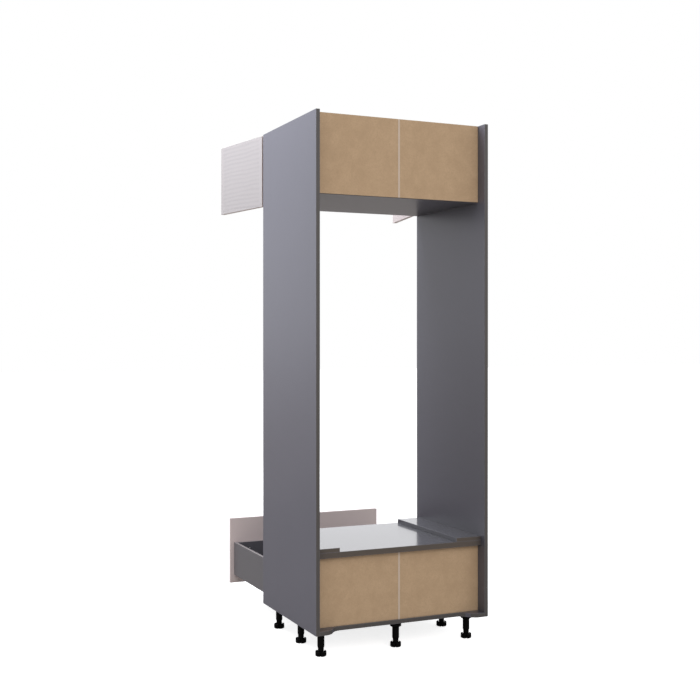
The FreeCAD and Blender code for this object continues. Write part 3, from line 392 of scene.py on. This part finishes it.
def moulded(name, tones, low, high, gloss=0.5):
    """Moulded or extruded plastic with a fine pressed skin."""
    material, tree, skin = tree_of(name)
    pores = place(tree, PORES, Pore_size=0.0012, Cloud_size=0.03)
    # painted highlight: the outer corners get a lighter tone
    light = tuple(min(1.0, part + 0.002) for part in scaled(tones[0], 1.8))
    tone = marked(tree, mixed(tree, pores["Tone"], *tones), "Corner",
                  width=0.0015, share=0.4, colour=light)
    fit(tree, skin, Base_Color=tone, Roughness=between(tree, pores["Height"], low, high),
        Normal=bump(tree, pores["Height"], depth=0.00008, strength=0.6),
        Specular_IOR_Level=gloss)
    return material


def plated(name, tones, low, high):
    """Rolled steel under zinc or nickel plate."""
    material, tree, skin = tree_of(name)
    lines = place(tree, LINES, Fineness=900.0)
    tone = marked(tree, mixed(tree, lines["Patch"], *tones), "Crease",
                  width=0.002, share=0.6, colour=scaled(tones[0], DARKENED))
    fit(tree, skin, Base_Color=tone, Roughness=between(tree, lines["Line"], low, high),
        Normal=bump(tree, lines["Line"], depth=0.00002, strength=0.5), Metallic=1.0)
    return material


def beech():
    """Turned dowel wood with fine grain."""
    material, tree, skin = tree_of("beech_dowel")
    lines = place(tree, LINES, Fineness=500.0)
    fit(tree, skin, Base_Color=mixed(tree, lines["Patch"], *BEECH_BROWN),
        Roughness=between(tree, lines["Line"], 0.5, 0.7))
    return material


def swung_front(name, side, degrees):
    """Finish of a cupboard door that stands open by an angle."""
    angle = math.radians(degrees)
    outward = (side * math.sin(angle), -math.cos(angle), 0.0)
    across = (-side * math.cos(angle), -math.sin(angle), 0.0)
    near = side * DOOR_POLE[0] * across[0] + DOOR_POLE[1] * across[1]
    return grained_front(name, outward, across, near, near + DOOR_WIDTH)


CARCASS = melamine("carcass_melamine", CARCASS_GREY, 0.28, 0.36, band=CARCASS_BAND)
SHELF = melamine("oven_shelf_melamine", CARCASS_GREY, 0.18, 0.25, lacquer=1.0, band=SHELF_BAND)
DRAWER = drawer_melamine(DRAWER_GREY, DRAWER_TOP_HIGHLIGHT)
DRAWER_BASE = melamine("drawer_base_melamine", DRAWER_GREY, 0.34, 0.42)
BACK = fibreboard()
STRIP = moulded("strip_plastic", STRIP_BEIGE, 0.35, 0.45)
LEG = moulded("leg_plastic", LEG_BLACK, 0.38, 0.5, gloss=0.1)
NICKEL = plated("nickel_plate", NICKEL_GREY, 0.16, 0.3)
ZINC = plated("zinc_plate", ZINC_GREY, 0.28, 0.45)
CAST = plated("cast_cam", CAST_GREY, 0.4, 0.55)
DOWEL = beech()
FRONTS = {
    "right_door": swung_front("right_door_decor", 1, RIGHT_DOOR_OPEN),
    "left_door": swung_front("left_door_decor", -1, LEFT_DOOR_OPEN),
    "drawer_front": grained_front("drawer_front_decor", FORWARD, ACROSS,
                                  -FRONT_HALF_WIDTH, FRONT_HALF_WIDTH),
}


def finish_of(name):
    """The finish of a CAD node."""
    if name.endswith("screws") or name == "carcass_cam_bolts" or "runner" in name:
        return ZINC
    if name.startswith("leg_"):
        return LEG
    if name.endswith("strip"):
        return STRIP
    if name.startswith(("upper_back", "lower_back")):
        return BACK
    if "hinge" in name or "links" in name:
        return NICKEL
    if name == "carcass_cams":
        return CAST
    if name == "carcass_dowels":
        return DOWEL
    if name in FRONTS:
        return FRONTS[name]
    if name in ("oven_shelf", "right_oven_batten", "left_oven_batten"):
        return SHELF
    if name == "drawer_base":
        return DRAWER_BASE
    if "drawer" in name:
        return DRAWER
    return CARCASS


for node_name, node in nodes.items():
    node.data.materials.clear()
    node.data.materials.append(finish_of(node_name))


# ---- camera, light and floor ---------------------------------------------------------------
def aimed(direction):
    """The rotation of a camera or lamp that looks along a direction."""
    return Vector(direction).to_track_quat("-Z", "Y").to_euler()


def photo_camera():
    """Camera at the photograph's viewing angle, level, behind the unit and to its right."""
    data = bpy.data.cameras.new("photo_camera")
    data.sensor_width = CAMERA_SENSOR
    data.lens = CAMERA_LENS
    data.shift_y = CAMERA_RISE
    camera = bpy.data.objects.new("photo_camera", data)
    camera.location = CAMERA_SPOT
    camera.rotation_euler = aimed(CAMERA_AIM)
    bpy.context.scene.collection.objects.link(camera)
    bpy.context.scene.camera = camera


def soft_box(name, spot, target, size, power, colour, mirrored):
    """A large soft area lamp aimed at a point, hidden from the camera."""
    data = bpy.data.lights.new(name, "AREA")
    data.shape = "RECTANGLE"
    data.size, data.size_y = size
    data.energy = power
    data.color = colour
    lamp = bpy.data.objects.new(name, data)
    lamp.location = spot
    lamp.rotation_euler = aimed(Vector(target) - Vector(spot))
    lamp.visible_camera = False
    lamp.visible_glossy = mirrored
    bpy.context.scene.collection.objects.link(lamp)


def sky():
    """White to the camera and in reflections, an even soft grey for the fill light."""
    world = bpy.data.worlds.new("studio")
    bpy.context.scene.world = world
    world.use_nodes = True
    tree = world.node_tree
    tree.nodes.clear()
    path = tree.nodes.new("ShaderNodeLightPath").outputs
    fill = add(tree, "ShaderNodeBackground", Strength=SKY_FILL, Color=SKY_FILL_COLOUR)
    paper = mixed(tree, path["Is Camera Ray"], SKY_MIRRORED, WHITE)
    white = add(tree, "ShaderNodeBackground", Strength=1.0, Color=paper)
    seen = maths(tree, "MAXIMUM", path["Is Camera Ray"], path["Is Glossy Ray"])
    seen = maths(tree, "MAXIMUM", seen, path["Is Transmission Ray"])
    blend = tree.nodes.new("ShaderNodeMixShader")
    for socket, value in zip(blend.inputs, (seen, fill.outputs[0], white.outputs[0])):
        feed(tree, socket, value)
    add(tree, "ShaderNodeOutputWorld", Surface=blend.outputs[0])


def floor():
    """Plain pale floor that looks white to the camera but keeps the unit's soft shadow. In
    reflections it is dark near the unit and pale further off, as painted shade and painted light."""
    half = FLOOR_HALF_SIZE
    mesh = bpy.data.meshes.new("floor")
    mesh.from_pydata([(-half, -half, 0), (half, -half, 0), (half, half, 0), (-half, half, 0)],
                     [], [(0, 1, 2, 3)])
    sheet = bpy.data.objects.new("floor", mesh)
    bpy.context.scene.collection.objects.link(sheet)
    material, tree, skin = tree_of("pale_floor")
    path = tree.nodes.new("ShaderNodeLightPath").outputs
    cloud = add(tree, "ShaderNodeTexNoise", Scale=1.5, Detail=2.0).outputs["Fac"]
    spread = add(tree, "ShaderNodeVectorMath", operation="LENGTH")
    feed(tree, spread.inputs[0], own(tree, "Object"))
    # painted shade near the unit and painted light further off, only in reflections
    far = maths(tree, "SUBTRACT", spread.outputs["Value"], FLOOR_FADE_START)
    far = maths(tree, "DIVIDE", far, FLOOR_FADE_LENGTH, clamp=True)
    mirrored = mixed(tree, far, FLOOR_MIRRORED_NEAR, FLOOR_MIRRORED_FAR)
    plain = mixed(tree, path["Is Glossy Ray"], FLOOR_PLAIN, mirrored)
    plain = mixed(tree, maths(tree, "MULTIPLY", cloud, FLOOR_CLOUD_SHARE), plain, FLOOR_CLOUD)
    fit(tree, skin, Base_Color=mixed(tree, path["Is Camera Ray"], plain, FLOOR_SEEN),
        Roughness=1.0, Specular_IOR_Level=0.0, Emission_Color=WHITE,
        Emission_Strength=maths(tree, "MULTIPLY", path["Is Camera Ray"], FLOOR_LIFT))
    mesh.materials.append(material)


photo_camera()
sky()
floor()
for lamp_values in LAMPS:
    soft_box(*lamp_values)
bpy.context.scene.view_settings.view_transform = "Standard"
